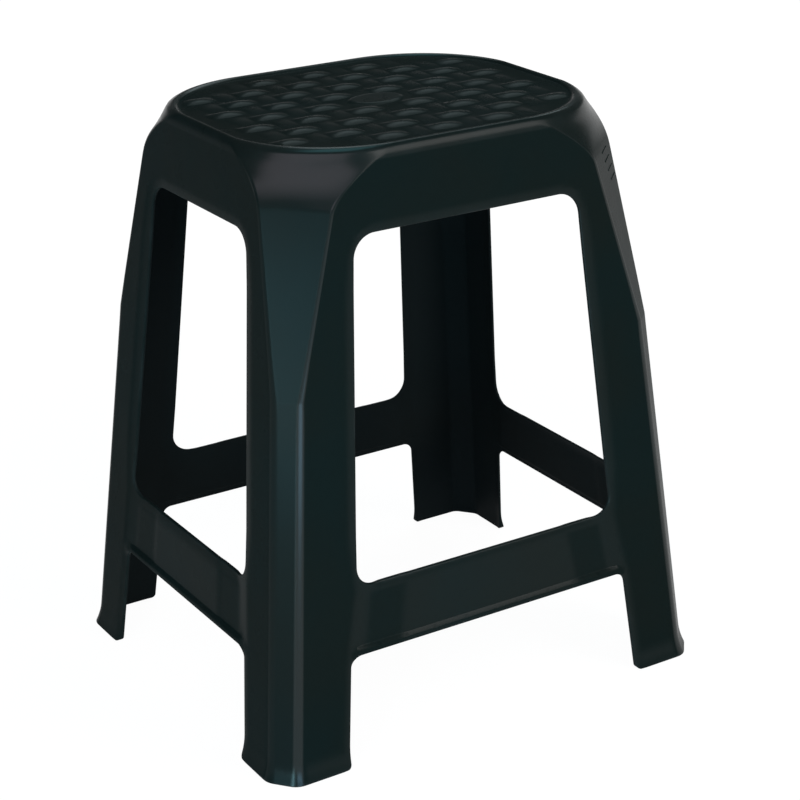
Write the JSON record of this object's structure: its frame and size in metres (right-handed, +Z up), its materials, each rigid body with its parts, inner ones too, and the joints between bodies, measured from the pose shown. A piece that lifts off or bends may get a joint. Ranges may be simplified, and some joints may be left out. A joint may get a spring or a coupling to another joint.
{
  "type": "stacking stool",
  "caption": "Moulded plastic stacking stool with four splayed angle legs, low stretchers, a deep apron and a basket-weave seat.",
  "frame": {"origin": "centre of the footprint on the floor, under the middle of the seat", "axes": "+Z up, -Y towards the front (one of the two wide sides), -X towards the left"},
  "size_m": [0.3902, 0.3368, 0.452],
  "materials": {
    "polypropylene": "satin moulded skin, dark green-black"
  },
  "bodies": {
    "root": {"seat_panel": "polypropylene", "gate_boss": "polypropylene", "front_apron": "polypropylene", "back_apron": "polypropylene", "left_apron": "polypropylene", "right_apron": "polypropylene", "front_stretcher": "polypropylene", "back_stretcher": "polypropylene", "left_stretcher": "polypropylene", "right_stretcher": "polypropylene", "front_seat_rib": "polypropylene", "back_seat_rib": "polypropylene", "left_seat_rib": "polypropylene", "right_seat_rib": "polypropylene", "front_left_foot": "polypropylene", "front_right_foot": "polypropylene", "back_left_foot": "polypropylene", "back_right_foot": "polypropylene", "front_left_leg": "polypropylene", "front_right_leg": "polypropylene", "back_left_leg": "polypropylene", "back_right_leg": "polypropylene", "front_left_shoulder": "polypropylene", "front_right_shoulder": "polypropylene", "back_left_shoulder": "polypropylene", "back_right_shoulder": "polypropylene", "front_left_seat_rib": "polypropylene", "front_right_seat_rib": "polypropylene", "back_left_seat_rib": "polypropylene", "back_right_seat_rib": "polypropylene", "front_left_stacking_stop": "polypropylene", "front_right_stacking_stop": "polypropylene", "back_left_stacking_stop": "polypropylene", "back_right_stacking_stop": "polypropylene"}
  },
  "joints": []
}
